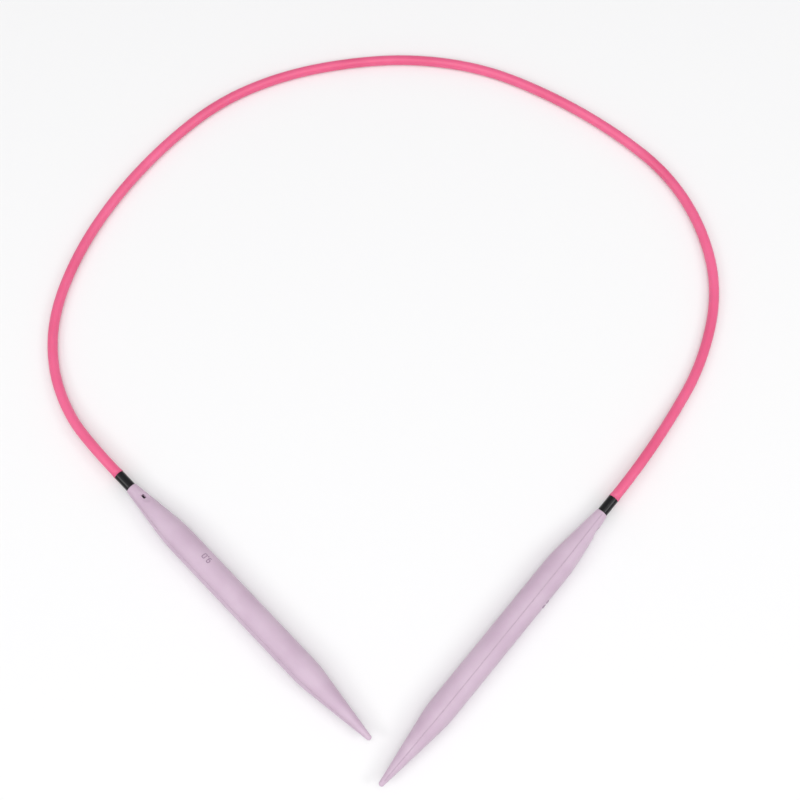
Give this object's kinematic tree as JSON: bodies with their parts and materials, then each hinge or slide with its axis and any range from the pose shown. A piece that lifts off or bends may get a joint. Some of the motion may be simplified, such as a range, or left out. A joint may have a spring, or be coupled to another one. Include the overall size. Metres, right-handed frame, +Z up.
{
  "type": "circular knitting needle",
  "caption": "Circular knitting needle: two pointed plastic tips joined by a hollow flexible cable, each tip turning on a swivel plug.",
  "frame": {"origin": "on the table, at the middle of the outline that the two tips and their joins cover", "axes": "+Z up from the table, +X across the needle from the left tip to the right tip, +Y from the points towards the cable's loop"},
  "size_m": [0.2252, 0.2531, 0.009],
  "materials": {
    "tip_plastic": "satin pastel lilac moulded plastic",
    "plug_plastic": "black moulded plastic",
    "ferrule_sleeve": "glossy black sleeve",
    "cable_vinyl": "satin pink soft vinyl tube"
  },
  "bodies": {
    "left_end": {"cable_left": "cable_vinyl", "swivel_plug_left": "plug_plastic", "ferrule_left": "ferrule_sleeve"},
    "tip_left": {"needle_tip_left": "tip_plastic"},
    "right_end": {"cable_right": "cable_vinyl", "swivel_plug_right": "plug_plastic", "ferrule_right": "ferrule_sleeve"},
    "tip_right": {"needle_tip_right": "tip_plastic"}
  },
  "joints": [
    {"name": "cable_flex", "type": "hinge", "parent": "left_end", "child": "right_end", "pos_m": [0.004, 0.19965, 0.0017], "axis": [0, 0, 1], "range_deg": [-2.4, 45], "stiffness_Nm_per_rad": 0.0002, "deforming": ["cable_left", "cable_right"]},
    {"name": "tip_swivel_left", "type": "hinge", "parent": "left_end", "child": "tip_left", "pos_m": [-0.07573, 0.04357, 0.0045], "axis": [0.694, -0.72, 0], "continuous": true},
    {"name": "tip_swivel_right", "type": "hinge", "parent": "right_end", "child": "tip_right", "pos_m": [0.07609, 0.03525, 0.0045], "axis": [-0.6357, -0.7719, 0], "continuous": true}
  ]
}
